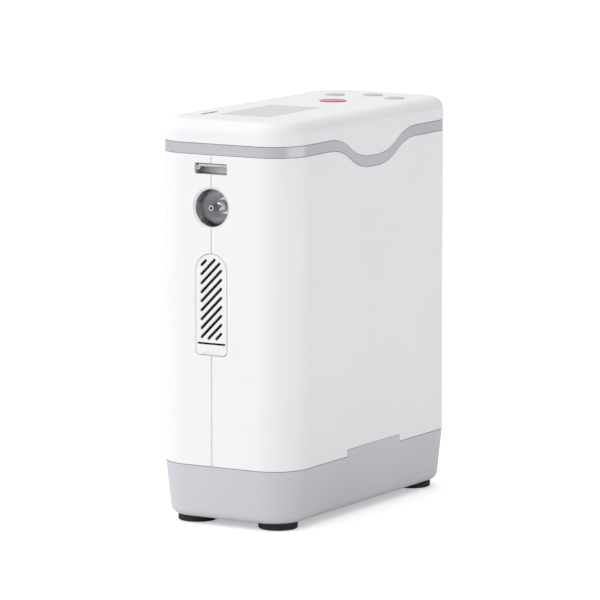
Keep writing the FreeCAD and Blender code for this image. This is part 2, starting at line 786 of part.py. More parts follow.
def make_outlet_nozzle():
    """Turned hose nozzle: thread, flange, body, stem and two barbs."""
    tip = -half_depth + 0.5
    stem = nozzle_stem_diameter / 2
    barb = nozzle_barb_diameter / 2
    body = nozzle_body_diameter / 2
    thread = nozzle_thread_diameter / 2
    profile = [
        (0, tip), (stem, tip), (barb, tip + 2.4), (barb, tip + 4.4), (stem, tip + 4.8), (stem, tip + 7.0),
        (barb, tip + 9.4), (barb, tip + 10.4), (stem, tip + 10.8), (stem, tip + 13.0),
        (stem + 1.2, tip + 13.4), (body, tip + 15.4), (body, cup_floor_y - 3.0),
        (nozzle_flange_diameter / 2, cup_floor_y - 3.0), (nozzle_flange_diameter / 2, cup_floor_y),
        (thread, cup_floor_y), (thread, cup_floor_y + 11.0), (0, cup_floor_y + 11.0), (0, tip),
    ]
    face = Part.Face(Part.makePolygon([vec(r, y, cup_z) for r, y in profile]))
    solid = face.revolve(vec(0, 0, cup_z), vec(0, 1, 0), 360)
    return solid.cut(along_y(0, cup_z, nozzle_bore / 2, tip - 1, cup_floor_y + 12))


def hexagon_nut(y0, thickness, across_flats, hole_radius):
    radius = across_flats / math.sqrt(3)
    turns = [math.radians(60 * k) for k in range(7)]
    points = [vec(radius * math.cos(turn), y0, cup_z + radius * math.sin(turn)) for turn in turns]
    nut = Part.Face(Part.makePolygon(points)).extrude(vec(0, thickness, 0))
    return nut.cut(along_y(0, cup_z, hole_radius, y0 - 1, y0 + thickness + 1))


def make_outlet_nut():
    return hexagon_nut(cup_floor_y + cup_wall + 1.5, 5.0, 17.0, nozzle_thread_diameter / 2 + 0.02)


def make_outlet_seal():
    y0 = cup_floor_y + cup_wall
    washer = along_y(0, cup_z, 8.0, y0, y0 + 1.5)
    return washer.cut(along_y(0, cup_z, nozzle_thread_diameter / 2 + 0.05, y0 - 1, y0 + 2))


def grille_slots():
    """Slots that rise at 45 degrees, cut off by an arched margin and by the finger slot."""
    inside = grille_width / 2 - grille_slot_margin
    arch = grille_width / 2 - grille_arch_margin
    low = grille_bottom + finger_slot_rise + finger_slot_height + 4.0
    spring = grille_top - grille_width / 2
    slots = []
    offset = low - inside + grille_first_slot
    while offset < spring + arch * math.sqrt(2):
        rise = offset - spring
        reach = math.sqrt(2 * arch ** 2 - rise ** 2) if abs(rise) < arch * math.sqrt(2) else 0.0
        start = max(-inside, low - offset)
        end = inside
        if inside + offset > spring:
            end = min(inside, (reach - rise) / 2)
        if start + offset > spring:
            start = max(start, (-reach - rise) / 2)
        if end - start > grille_slot_width:
            slots.append(slanted_slot(start, end, offset))
        offset += grille_slot_pitch
    return slots


def slanted_slot(x_start, x_end, offset):
    """A round-ended slot from x_start to x_end on the line z = x + offset."""
    radius = grille_slot_width / 2
    y0, y1 = -half_depth - 1, -inner_half_depth + 1
    length = (x_end - x_start) * math.sqrt(2)
    bar = block(0, length, y0, y1, -radius, radius)
    slot = fuse([bar, along_y(0, 0, radius, y0, y1), along_y(length, 0, radius, y0, y1)])
    slot.rotate(vec(0, 0, 0), vec(0, 1, 0), -45)
    slot.translate(vec(x_start, 0, x_start + offset))
    return slot


def make_filter_cover():
    front = -half_depth
    panel = arch_plate(grille_width, grille_bottom, grille_top, front, front + grille_thickness, 5.0)
    panel = round_edges_y(panel, front, edge_radius)
    for slot in grille_slots():
        panel = panel.cut(slot)
    finger_z = grille_bottom + finger_slot_rise
    finger = block(-grille_width / 2 + 1.5, grille_width / 2 - 1.5, front - 1, front + 4,
                   finger_z, finger_z + finger_slot_height)
    panel = panel.cut(finger)
    thumb = along_y(0, grille_bottom + thumb_rise - thumb_radius, thumb_radius, front - 1, front + thumb_depth)
    return panel.cut(thumb)


def make_filter_seat():
    """Frame behind the grille opening that holds the foam."""
    y0 = -inner_half_depth
    back = y0 + filter_thickness + 4
    outer = arch_plate(grille_width + 12, grille_bottom - 6, grille_top + 6, y0, back, 6.0)
    pocket = arch_plate(grille_width + 2 * grille_clearance, grille_bottom - grille_clearance,
                        grille_top + grille_clearance, y0 - 1, y0 + filter_thickness + 1.6, 5.0)
    window = block(-grille_width / 2 + 5, grille_width / 2 - 5, y0, y0 + filter_thickness + 5,
                   grille_bottom + 20, grille_top - 20)
    return fuse([outer.cut(pocket).cut(window), intake_duct()])


def make_intake_filter():
    """Foam pad that comes out with its cover."""
    y0 = -half_depth + grille_thickness
    low = grille_bottom + finger_slot_rise + finger_slot_height + 0.5
    return arch_plate(grille_width - 4, low, grille_top - 2, y0, y0 + filter_thickness, 1.0)


# ------------------------------------------------------------------ rear face parts
def make_mains_inlet():
    """Three-pin appliance inlet, mounted behind the rear wall."""
    y = inner_half_depth
    z = inlet_z
    half = inlet_width / 2
    body = block(-half, half, y - inlet_depth, y, z - inlet_height / 2, z + inlet_height / 2)
    rim = rounded_plate_y(inlet_width, inlet_height, inlet_corner, y - 1, half_depth - 0.3, z)
    plate = rounded_plate_y(inlet_width + 23, inlet_height + 8, 4.0, y - inlet_plate_thickness, y, z)
    body = fuse([body, rim, plate])
    well = rounded_plate_y(inlet_width - 3, inlet_height - 3, inlet_corner - 1, y - inlet_depth + 8, half_depth, z)
    body = body.cut(well)
    for pin in inlet_pin_solids():
        body = body.cut(pin)
    for x in inlet_screw_xs():
        body = body.cut(along_y(x, z, small_screw_diameter / 2, y - inlet_plate_thickness - 1, y + 1))
    return body


def inlet_screw_xs():
    offset = inlet_width / 2 + 6.5
    return -offset, offset


def rounded_plate_y(width, height, radius, y0, y1, z):
    plate = block(-width / 2, width / 2, y0, y1, z - height / 2, z + height / 2)
    edges = [edge for edge in plate.Edges if edge.BoundBox.YLength > 0.9 * (y1 - y0)]
    return plate.makeFillet(radius, edges)


def inlet_pin_solids():
    y0, y1 = inner_half_depth - inlet_depth - 6, inner_half_depth - 1
    places = ((-7.0, inlet_z - 2.0), (0.0, inlet_z + 2.0), (7.0, inlet_z - 2.0))
    return [block(x - 1, x + 1, y0, y1, z - 2, z + 2) for x, z in places]


def inlet_screw_solids(slotted):
    """Countersunk screws, flush with the rear wall."""
    screws = []
    radius = small_screw_diameter / 2
    for x in inlet_screw_xs():
        head = Part.makeCone(radius, 2 * radius, radius, vec(x, half_depth - radius, inlet_z), vec(0, 1, 0))
        shank = along_y(x, inlet_z, radius, inner_half_depth - 7.0, half_depth - radius)
        screw = fuse([head, shank])
        if slotted:
            low, high = inlet_z - 0.35, inlet_z + 0.35
            screw = screw.cut(block(x - 3, x + 3, half_depth - 0.6, half_depth + 1, low, high))
        screws.append(screw)
    return screws


def make_rear_vent():
    """Louvred exhaust panel that snaps into the rear wall."""
    z0 = shell_bottom + vent_rise + vent_clearance
    z1 = shell_bottom + vent_rise + vent_height - vent_clearance
    half = vent_width / 2 - vent_clearance
    panel = block(-half, half, half_depth - wall, half_depth, z0, z1)
    rows = int((z1 - z0 - 6) // 6)
    for row in range(rows):
        z = z0 + 5 + 6 * row
        panel = panel.cut(block(-half + 5, half - 5, half_depth - wall - 1, half_depth + 1, z, z + 2.8))
    rim = block(-half - 3, half + 3, half_depth - wall - 1.5, half_depth - wall, z0 - 3, z1 + 3)
    rim = rim.cut(block(-half + 3, half - 3, half_depth - wall - 3, half_depth, z0 + 3, z1 - 3))
    return fuse([panel, rim])


# ------------------------------------------------------------------ compressor
def crankcase_middles():
    reach = stator_length / 2 + crankcase_length / 2
    return compressor_y - reach, compressor_y + reach


def make_chassis_plate():
    y0 = compressor_y - compressor_half_span() - 25
    y1 = bed_y + bed_cap_diameter / 2
    width = 2 * (foot_x + 12)
    plate = block(-width / 2, width / 2, y0, y1, plate_bottom, plate_top)
    for x, y in corners(foot_x, foot_y):
        plate = plate.cut(upright(x, y, pillar_diameter / 2 + 1, plate_bottom - 1, plate_top + 1))
    return plate


def isolator_places():
    return [(x, compressor_y + y) for x, y in corners(crankcase_size / 2 - 8, compressor_half_span())]


def make_isolators():
    pads = []
    for x, y in isolator_places():
        pad = upright(x, y, isolator_diameter / 2, plate_top, mount_bottom)
        waist = upright(x, y, isolator_diameter / 2 + 1, plate_top + 4, mount_bottom - 4)
        waist = waist.cut(upright(x, y, isolator_diameter / 2 - 2.5, plate_top, mount_bottom))
        pads.append(pad.cut(waist))
    return group(pads)


def make_compressor_mount():
    length = stator_length + 2 * crankcase_length
    return slab(0, compressor_y, crankcase_size + 2 * mount_margin, length, mount_bottom, crankcase_bottom)


def make_stator():
    y0, y1 = compressor_y - stator_length / 2, compressor_y + stator_length / 2
    core = along_y(0, crank_z, stator_diameter / 2, y0, y1)
    return core.cut(along_y(0, crank_z, stator_bore / 2, y0 - 1, y1 + 1))


def make_rotor():
    """Rotor core on its shaft, which reaches into both crankcases."""
    core_half = stator_length / 2 - 4
    core = along_y(0, crank_z, stator_bore / 2 - air_gap, compressor_y - core_half, compressor_y + core_half)
    reach = compressor_half_span() + big_end_width / 2 + 4
    shaft = along_y(0, crank_z, shaft_diameter / 2, compressor_y - reach, compressor_y + reach)
    return fuse([core, shaft])


def make_crankcase(end):
    """end is -1 for the front crankcase and 1 for the rear one."""
    middle = compressor_y + end * compressor_half_span()
    y0, y1 = middle - crankcase_length / 2, middle + crankcase_length / 2
    half = crankcase_size / 2
    body = block(-half, half, y0, y1, crankcase_bottom, cylinder_bottom)
    cavity_in = bearing_width + 2
    c0, c1 = (y0 - 1, y1 - cavity_in) if end < 0 else (y0 + cavity_in, y1 + 1)
    body = body.cut(along_y(0, crank_z, crank_cavity_diameter / 2, c0, c1))
    b0, b1 = (y1 - bearing_width, y1 + 1) if end < 0 else (y0 - 1, y0 + bearing_width)
    body = body.cut(along_y(0, crank_z, bearing_diameter / 2, b0, b1))
    body = body.cut(along_y(0, crank_z, shaft_diameter / 2 + 2, y0 - 1, y1 + 1))
    rod_way = upright(0, (c0 + c1) / 2, (c1 - c0) / 2 - 2, crank_z, cylinder_bottom + 1)
    return body.cut(rod_way.fuse(upright(0, piston_y(end), 11.0, crank_z, cylinder_bottom + 1)))


def piston_y(end):
    """The big end's middle, where the rod and the cylinder stand."""
    return compressor_y + end * compressor_half_span()


def make_bearing(end):
    inner_face = compressor_y + end * stator_length / 2
    y0, y1 = sorted((inner_face, inner_face + end * bearing_width))
    return along_y(0, crank_z, bearing_diameter / 2, y0, y1).cut(
        along_y(0, crank_z, shaft_diameter / 2 + running_gap, y0 - 1, y1 + 1))


def make_eccentric(end):
    """Disc pressed on the shaft, off centre by the throw; the two are half a turn apart."""
    y0, y1 = piston_y(end) - big_end_width / 2, piston_y(end) + big_end_width / 2
    z = crank_z - end * crank_throw
    disc = along_y(0, z, eccentric_diameter / 2, y0, y1)
    return disc.cut(along_y(0, crank_z, shaft_diameter / 2, y0 - 1, y1 + 1))


def make_piston_rod(end):
    y = piston_y(end)
    z = crank_z - end * crank_throw
    ring = along_y(0, z, big_end_diameter / 2, y - big_end_width / 2, y + big_end_width / 2)
    shank = slab(0, y, 10, big_end_width - 2, z + eccentric_diameter / 2 + 2, z + rod_length + 1)
    piston = upright(0, y, piston_diameter / 2, z + rod_length, z + rod_length + piston_thickness)
    body = fuse([ring, shank, piston])
    return body.cut(along_y(0, z, eccentric_diameter / 2 + running_gap, y - big_end_width, y + big_end_width))


def make_cylinder(end):
    outer = upright(0, piston_y(end), cylinder_bore / 2 + cylinder_wall, cylinder_bottom, cylinder_top)
    return outer.cut(upright(0, piston_y(end), cylinder_bore / 2, cylinder_bottom - 1, cylinder_top + 1))


def make_head(end):
    head = rounded_box(head_size, head_size, 6.0, cylinder_top, head_top, 0, piston_y(end))
    fins = [slab(0, piston_y(end), head_size + 2, 2.2, cylinder_top + 5 + 4 * k, cylinder_top + 7 + 4 * k)
            for k in range(2)]
    for fin in fins:
        head = head.cut(fin)
    return head


def make_crankcase_cover(end):
    face = compressor_y + end * (stator_length / 2 + crankcase_length)
    y0, y1 = sorted((face, face + end * 3.0))
    return along_y(0, crank_z, crank_cavity_diameter / 2 + 4, y0, y1)


def make_head_pipe():
    """Joins the two heads' outlets."""
    x = head_size / 2 - 10
    z = head_top + 3.5
    front, rear = piston_y(-1), piston_y(1)
    return tube([(x, front, head_top), (x, front, z + 4), (x, rear, z + 4), (x, rear, head_top)],
                coil_tube_diameter, coil_tube_diameter - 2, 3.6)


# ------------------------------------------------------------------ cooling
def make_cooling_coil():
    """Flat serpentine tube under the fan."""
    z = coil_bottom + coil_tube_diameter / 2
    start = compressor_y - coil_pitch * (coil_passes - 1) / 2
    points = []
    for turn in range(coil_passes):
        y = start + coil_pitch * turn
        side = 1 if turn % 2 == 0 else -1
        points += [(-side * coil_half_width, y, z), (side * coil_half_width, y, z)]
    return tube(points, coil_tube_diameter, coil_tube_diameter - 2, coil_pitch / 2 - 0.5)


def make_fan_frame():
    frame = slab(0, compressor_y, fan_size, fan_size, fan_bottom, shelf_bottom)
    frame = frame.cut(upright(0, compressor_y, fan_bore_radius, fan_bottom - 1, shelf_bottom + 1))
    hub = upright(0, compressor_y, fan_hub_radius, shelf_bottom - 3, shelf_bottom)
    arms = []
    for k in range(4):
        arm = block(fan_hub_radius - 2, fan_bore_radius + 1, -2, 2, shelf_bottom - 3, shelf_bottom)
        arm.rotate(vec(0, 0, 0), vec(0, 0, 1), 45 + 90 * k)
        arm.translate(vec(0, compressor_y, 0))
        arms.append(arm)
    frame = fuse([frame, hub] + arms)
    bore = fan_axle_radius + running_gap
    return frame.cut(upright(0, compressor_y, bore, shelf_bottom - 4, shelf_bottom - 0.5))


def make_fan_rotor():
    z0, z1 = fan_bottom + 1.0, shelf_bottom - 4.0
    hub = upright(0, 0, fan_hub_radius, z0, z1)
    blades = []
    root, tip = fan_hub_radius - 1.0, fan_bore_radius - 2.0
    for k in range(fan_blades):
        blade = block(root, tip, -1.0, 1.0, -11.0, 11.0)
        blade.rotate(vec(0, 0, 0), vec(1, 0, 0), 42)
        blade.translate(vec(0, 0, (z0 + z1) / 2))
        blade.rotate(vec(0, 0, 0), vec(0, 0, 1), 360.0 * k / fan_blades)
        blades.append(blade)
    axle = upright(0, 0, fan_axle_radius, z1, shelf_bottom - 1.0)
    rotor = fuse([hub, axle] + blades)
    rotor.translate(vec(0, compressor_y, 0))
    return rotor


def make_shelf():
    """Partition above the fan, with a round air opening."""
    y0 = canister_y() - canister_diameter / 2 - 2
    y1 = bed_y - bed_cap_diameter / 2 - 1
    width = 2 * inner_half_width - 4
    shelf = block(-width / 2, width / 2, y0, y1, shelf_bottom, shelf_top)
    shelf = shelf.cut(upright(0, compressor_y, fan_bore_radius, shelf_bottom - 1, shelf_top + 1))
    shelf = shelf.cut(upright(riser_x, riser_y, hose_diameter / 2 + 1, shelf_bottom - 1, shelf_top + 1))
    legs = [upright(x, compressor_y + y, leg_radius, plate_top, shelf_bottom + 0.5) for x, y in leg_corners()]
    return fuse([shelf] + legs + tank_cradles())


def leg_corners():
    """The shelf's legs stand on the chassis plate, before and behind the compressor."""
    return corners(half_width - leg_inset, compressor_half_span() + crankcase_length / 2 + leg_radius + 2.0)


# ------------------------------------------------------------------ sieve beds and valves
def make_sieve_bed(side):
    """Closed can with a wider cap crimped on each end."""
    x = side * bed_x
    can = upright(x, bed_y, bed_diameter / 2, bed_bottom + 1, bed_top - 1)
    low = upright(x, bed_y, bed_cap_diameter / 2, bed_bottom, bed_bottom + bed_cap_height)
    high = upright(x, bed_y, bed_cap_diameter / 2, bed_top - bed_cap_height, bed_top)
    neck = upright(x, bed_y, bed_diameter / 3, plate_top, bed_bottom + 1)
    body = fuse([can, low, high, neck])
    return body.cut(upright(x, bed_y, bed_diameter / 2 - bed_wall, bed_bottom + 4, bed_top - 4))


def make_manifold():
    width = 2 * bed_x + coil_body_diameter + 4
    body = slab(0, bed_y, width, manifold_depth, manifold_bottom, manifold_top)
    seat = plunger_diameter / 2 + 1.0
    for side in (-1, 1):
        body = body.cut(upright(side * bed_x, bed_y, seat, manifold_top - 8, manifold_top + 1))
    return body


def make_solenoid(side):
    """Coil body with a blind bore for its plunger."""
    x = side * bed_x
    coil_top = manifold_top + coil_body_height
    can = upright(x, bed_y, coil_body_diameter / 2, manifold_top, coil_top)
    return can.cut(upright(x, bed_y, plunger_diameter / 2 + running_gap, manifold_top - 1, coil_top - 4))


def make_plunger(side):
    z0 = manifold_top - 6
    z1 = manifold_top + coil_body_height - 4 - plunger_travel - 0.5
    return upright(side * bed_x, bed_y, plunger_diameter / 2, z0, z1)


# ------------------------------------------------------------------ oxygen path and electronics
def tank_place():
    return -(inner_half_width - tank_diameter / 2 - 8), compressor_y + 12, shelf_top + tank_diameter / 2 + 3


def make_oxygen_tank():
    x, y, z = tank_place()
    tank = along_y(x, z, tank_diameter / 2, y - tank_length / 2, y + tank_length / 2)
    return tank.makeFillet(6.0, [edge for edge in tank.Edges if edge.BoundBox.YLength < 0.01])


def tank_cradles():
    """Two saddles that hold the tank on the shelf."""
    x, y, z = tank_place()
    cradles = []
    for dy in (-tank_length / 4, tank_length / 4):
        cradle = slab(x, y + dy, tank_diameter + 2, 8, shelf_top - 0.5, z - 4)
        cradles.append(cradle.cut(along_y(x, z, tank_diameter / 2, y + dy - 6, y + dy + 6)))
    return cradles


def power_place():
    return inner_half_width - 36, compressor_y + 12


def make_power_board():
    x, y = power_place()
    return slab(x, y, 56, 96, shelf_top + 6, shelf_top + 7.6)


def power_parts():
    """Transformer, capacitors and heat sink on the power board."""
    x, y = power_place()
    z = shelf_top + 7.6
    parts = [slab(x + 8, y - 24, 30, 30, z, z + 26), slab(x - 18, y + 10, 10, 60, z, z + 30)]
    parts += [upright(x + 10, y + 12 + 16 * k, 7, z, z + 25) for k in range(2)]
    return parts


def power_standoffs():
    x, y = power_place()
    return [upright(x + dx, y + dy, 3, shelf_top, shelf_top + 6) for dx, dy in corners(24, 44)]


def canister_y():
    return compressor_y - tank_length / 2 + 12 - canister_diameter / 2 - 4


def make_canister(side):
    """Intake silencer on one side and the fine outlet filter on the other."""
    x = side * (canister_diameter / 2 + 5)
    can = upright(x, canister_y(), canister_diameter / 2, shelf_top, shelf_top + canister_height)
    can = can.makeFillet(4.0, [edge for edge in can.Edges if edge.BoundBox.ZLength < 0.01])
    spout = upright(x, canister_y(), 3.0, shelf_top + canister_height - 1, shelf_top + canister_height + 8)
    return fuse([can, spout])


def make_oxygen_sensor():
    x, y, z = tank_place()
    y0 = y + tank_length / 2 + 4
    return block(x - 14, x + 14, y0, y0 + 22, shelf_top, shelf_top + 26)


# ------------------------------------------------------------------ hoses
def intake_duct():
    """Box behind the foam that leads the air inwards."""
    y0 = -inner_half_depth + filter_thickness + 4
    z0, z1 = grille_bottom + 8, grille_top - 8
    half = grille_width / 2 + 2
    outer = block(-half, half, y0, y0 + 16, z0, z1)
    outer = outer.cut(block(-half + 2, half - 2, y0 - 1, y0 + 14, z0 + 2, z1 - 2))
    hole = along_y(0, z1 - 14, hose_diameter / 2, y0 + 10, y0 + 20)
    return outer.cut(hole)


def outlet_hose():
    """From the fine filter's spout to the outlet nozzle's thread end."""
    x = canister_diameter / 2 + 5
    z = shelf_top + canister_height
    y_end = cup_floor_y + 11.0
    y_mid = (canister_y() + y_end) / 2
    lift = z + 22
    return tube([(x, canister_y(), z + 8.2), (x, canister_y(), lift), (x, y_mid, lift), (seam_x, y_mid, cup_z),
                 (seam_x, y_end + 0.2, cup_z)], hose_diameter, hose_bore, 7.0)


def bed_hose():
    """From the head pipe's level up the inside of the case to the valve manifold."""
    x = riser_x
    y0 = riser_y
    z = (manifold_bottom + manifold_top) / 2
    start = piston_y(1)
    edge = head_size / 2
    level = cylinder_top + 3.5
    return tube([(-edge, start, level), (x, start, level), (x, y0, level), (x, y0, z), (x + 20, y0, z),
                 (x + 20, bed_y - manifold_depth / 2, z)], hose_diameter, hose_bore, 5.0)


# ------------------------------------------------------------------ build
def build_outside():
    save("base_tray", make_base_tray())
    save("feet", group([make_foot(x, y) for x, y in corners(foot_x, foot_y)]))
    save("case_screws", make_case_screws())
    left, right = make_shells()
    save("left_shell", left)
    save("right_shell", right)
    save("trim_band", make_trim_band())
    save("top_cover", make_top_cover())


def build_panel():
    save("display_window", make_display_window())
    save("display_module", make_display_module())
    save("status_strip", make_status_strip())
    for name, x, y, diameter in button_places():
        save(name, make_button(x, y, diameter))
        save(name + "_dome", make_dome(x, y, diameter))
    save("control_board", make_control_board())


def build_faces():
    save("hanger_bracket", inside_case(on_seam(make_hanger_bracket())))
    save("hanger_bar", on_seam(make_hanger_bar()))
    save("outlet_cup", inside_case(on_seam(make_outlet_cup())))
    save("outlet_nozzle", on_seam(make_outlet_nozzle()))
    save("outlet_nut", on_seam(make_outlet_nut()))
    save("outlet_seal", on_seam(make_outlet_seal()))
    save("filter_cover", on_seam(make_filter_cover()))
    save("filter_seat", inside_case(on_seam(make_filter_seat())))
    save("intake_filter", on_seam(make_intake_filter()))
    save("mains_inlet", inside_case(on_seam(make_mains_inlet())))
    save("inlet_pins", on_seam(group(inlet_pin_solids())))
    save("small_screws", group(board_screws() + [on_seam(screw) for screw in inlet_screw_solids(True)]))
    save("rear_vent", on_seam(make_rear_vent()))


def build_compressor():
    save("chassis_plate", make_chassis_plate())
    save("isolators", make_isolators())
    save("compressor_mount", make_compressor_mount())
    save("motor_stator", make_stator())
    save("motor_rotor", make_rotor())
    save("piston_rod_front", make_piston_rod(-1))
    save("piston_rod_rear", make_piston_rod(1))
    save("crankcases", pair(make_crankcase))
    save("crankcase_covers", pair(make_crankcase_cover))
    save("eccentrics", pair(make_eccentric))
    save("cylinders", pair(make_cylinder))
    save("cylinder_heads", pair(make_head))
    save("bearings", pair(make_bearing))
    save("head_pipe", make_head_pipe())


def build_air_path():
    save("cooling_coil", make_cooling_coil())
    save("fan_frame", make_fan_frame())
    save("fan_rotor", make_fan_rotor())
    save("shelf", make_shelf())
    save("sieve_beds", pair(make_sieve_bed))
    save("valve_manifold", make_manifold())
    save("solenoid_coils", pair(make_solenoid))
    save("valve_plunger_left", make_plunger(-1))
    save("valve_plunger_right", make_plunger(1))
    save("oxygen_tank", make_oxygen_tank())
    save("power_supply", group([make_power_board()] + power_parts() + power_standoffs()))
    save("filter_canisters", pair(make_canister))
    save("oxygen_sensor", make_oxygen_sensor())
    save("hoses", group([outlet_hose(), bed_hose()]))


build_outside()
build_panel()
build_faces()
build_compressor()
build_air_path()
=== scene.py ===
import bmesh
import bpy
import json
import math
from mathutils import Matrix, Vector


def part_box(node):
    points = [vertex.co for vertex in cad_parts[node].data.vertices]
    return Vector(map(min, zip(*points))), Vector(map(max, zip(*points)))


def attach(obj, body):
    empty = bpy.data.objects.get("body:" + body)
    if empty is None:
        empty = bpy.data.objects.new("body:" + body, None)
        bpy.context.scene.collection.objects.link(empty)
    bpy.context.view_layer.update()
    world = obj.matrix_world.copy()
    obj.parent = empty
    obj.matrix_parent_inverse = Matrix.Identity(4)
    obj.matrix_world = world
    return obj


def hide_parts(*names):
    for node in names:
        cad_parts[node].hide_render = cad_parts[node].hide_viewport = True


MM = 0.001
WHITE = (1.0, 1.0, 1.0, 1.0)

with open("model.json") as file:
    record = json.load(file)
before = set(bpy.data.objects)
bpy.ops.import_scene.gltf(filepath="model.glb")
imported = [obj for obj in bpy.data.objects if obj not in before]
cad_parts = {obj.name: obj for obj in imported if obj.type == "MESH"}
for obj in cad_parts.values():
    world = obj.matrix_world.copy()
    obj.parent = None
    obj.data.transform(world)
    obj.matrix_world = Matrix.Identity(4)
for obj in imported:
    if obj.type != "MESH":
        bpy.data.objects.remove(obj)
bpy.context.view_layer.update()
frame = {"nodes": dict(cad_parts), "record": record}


# ------------------------------------------------------------------ camera
CAMERA_AZIMUTH = 30.51      # degrees, from the narrow front towards the right broad side
CAMERA_PITCH = 8.23         # degrees above the horizon
CAMERA_DISTANCE = 4.8
CAMERA_AIM = (0.0, 0.0, 0.2004)
SENSOR_WIDTH = 36.0
FOCAL_LENGTH = 294.5
SIDE_SHIFT = -0.0109
FAR_CLIP = 100.0


def set_camera():
    """A long lens, a little above the roof, turned towards the front right corner."""
    azimuth = math.radians(CAMERA_AZIMUTH)
    pitch = math.radians(CAMERA_PITCH)
    towards = Vector((math.sin(azimuth) * math.cos(pitch),
                      -math.cos(azimuth) * math.cos(pitch), math.sin(pitch)))
    lens = bpy.data.cameras.new("camera")
    lens.sensor_width = SENSOR_WIDTH
    lens.lens = FOCAL_LENGTH
    lens.shift_x = SIDE_SHIFT
    lens.clip_end = FAR_CLIP
    camera = bpy.data.objects.new("camera", lens)
    camera.location = Vector(CAMERA_AIM) + CAMERA_DISTANCE * towards
    camera.rotation_euler = towards.to_track_quat("Z", "Y").to_euler()
    bpy.context.scene.collection.objects.link(camera)
    bpy.context.scene.camera = camera


set_camera()


# ------------------------------------------------------------------ node helpers
# places of the mix node's colour sockets, which share their names with the others
MIX_FACTOR, MIX_FIRST, MIX_SECOND, MIX_RESULT = 0, 6, 7, 2


def add(tree, kind, settings=None, **inputs):
    """Adds a node, sets its options, and fills or wires its inputs by name."""
    node = tree.nodes.new(kind)
    for name, value in (settings or {}).items():
        setattr(node, name, value)
    for name, value in inputs.items():
        fill(tree, node.inputs[name.replace("_", " ")], value)
    return node


def fill(tree, socket, value):
    """Wires a socket to another one, or gives it a plain value."""
    if isinstance(value, bpy.types.NodeSocket):
        tree.links.new(value, socket)
    else:
        socket.default_value = value


def calc(tree, operation, first, second=0.0):
    """One step of arithmetic on two sockets or numbers."""
    node = add(tree, "ShaderNodeMath", {"operation": operation})
    fill(tree, node.inputs[0], first)
    fill(tree, node.inputs[1], second)
    return node.outputs[0]


def remap(tree, value, low, high, to_low=0.0, to_high=1.0):
    """Stretches the range low to high over the range to_low to to_high, and clamps it there."""
    node = add(tree, "ShaderNodeMapRange", None, Value=value, From_Min=low, From_Max=high,
               To_Min=to_low, To_Max=to_high)
    return node.outputs[0]


def mix_colour(tree, factor, first, second):
    """The first colour where the factor is 0, the second where it is 1."""
    node = add(tree, "ShaderNodeMix", {"data_type": "RGBA"})
    fill(tree, node.inputs[MIX_FACTOR], factor)
    fill(tree, node.inputs[MIX_FIRST], first)
    fill(tree, node.inputs[MIX_SECOND], second)
    return node.outputs[MIX_RESULT]


def noise(tree, where, scale, detail):
    """Cloudy noise between 0 and 1, with its average near the middle."""
    node = add(tree, "ShaderNodeTexNoise", None, Vector=where, Scale=scale, Detail=detail)
    return node.outputs["Fac"]


def new_group(name, inputs, outputs):
    """A shader node group with named sockets; returns it with its input and output nodes."""
    group = bpy.data.node_groups.new(name, "ShaderNodeTree")
    kinds = {"colour": "NodeSocketColor", "value": "NodeSocketFloat", "vector": "NodeSocketVector"}
    for label, kind, value in inputs:
        item = group.interface.new_socket(name=label, in_out="INPUT", socket_type=kinds[kind])
        item.default_value = value
    for label, kind in outputs:
        group.interface.new_socket(name=label, in_out="OUTPUT", socket_type=kinds[kind])
    given = group.nodes.new("NodeGroupInput").outputs
    return group, given, group.nodes.new("NodeGroupOutput").inputs


# how large and how fine the noises are, and which part of their range is spread over 0 to 1
NOISE_MIDDLE = 0.5
GRAIN_DETAIL = 3.0
DRIFT_SCALE, DRIFT_DETAIL, DRIFT_RANGE = 9.0, 3.0, (0.35, 0.65)
SMEAR_SCALE, SMEAR_DETAIL = 38.0, 4.0
LINE_DETAIL = 3.0
STAIN_SCALE, STAIN_DETAIL, STAIN_RANGE = 60.0, 4.0, (0.4, 0.7)
UPWARD_RANGE = (0.3, 1.0)
PATCH_DETAIL, PATCH_RANGE, PATCH_LEAST = 5.0, (0.35, 0.75), 0.2
CELL_WALL_RANGE = (0.02, 0.28)


def make_moulded_grain():
    """Fine spark-eroded grain, slow colour drift and uneven gloss of a plastic moulding."""
    group, given, out = new_group(
        "moulded_grain",
        [("Colour", "colour", WHITE), ("Drift Colour", "colour", WHITE),
         ("Grain Scale", "value", 1800.0), ("Gloss", "value", 0.35),
         ("Gloss Spread", "value", 0.08)],
        [("Colour", "colour"), ("Roughness", "value"), ("Height", "value")])
    where = add(group, "ShaderNodeTexCoord").outputs["Object"]
    drift = remap(group, noise(group, where, DRIFT_SCALE, DRIFT_DETAIL), *DRIFT_RANGE)
    colour = mix_colour(group, drift, given["Colour"], given["Drift Colour"])
    group.links.new(colour, out["Colour"])
    grain = noise(group, where, given["Grain Scale"], GRAIN_DETAIL)
    smear = calc(group, "SUBTRACT", noise(group, where, SMEAR_SCALE, SMEAR_DETAIL), NOISE_MIDDLE)
    uneven = calc(group, "MULTIPLY", smear, given["Gloss Spread"])
    group.links.new(calc(group, "ADD", given["Gloss"], uneven), out["Roughness"])
    group.links.new(grain, out["Height"])
    return group


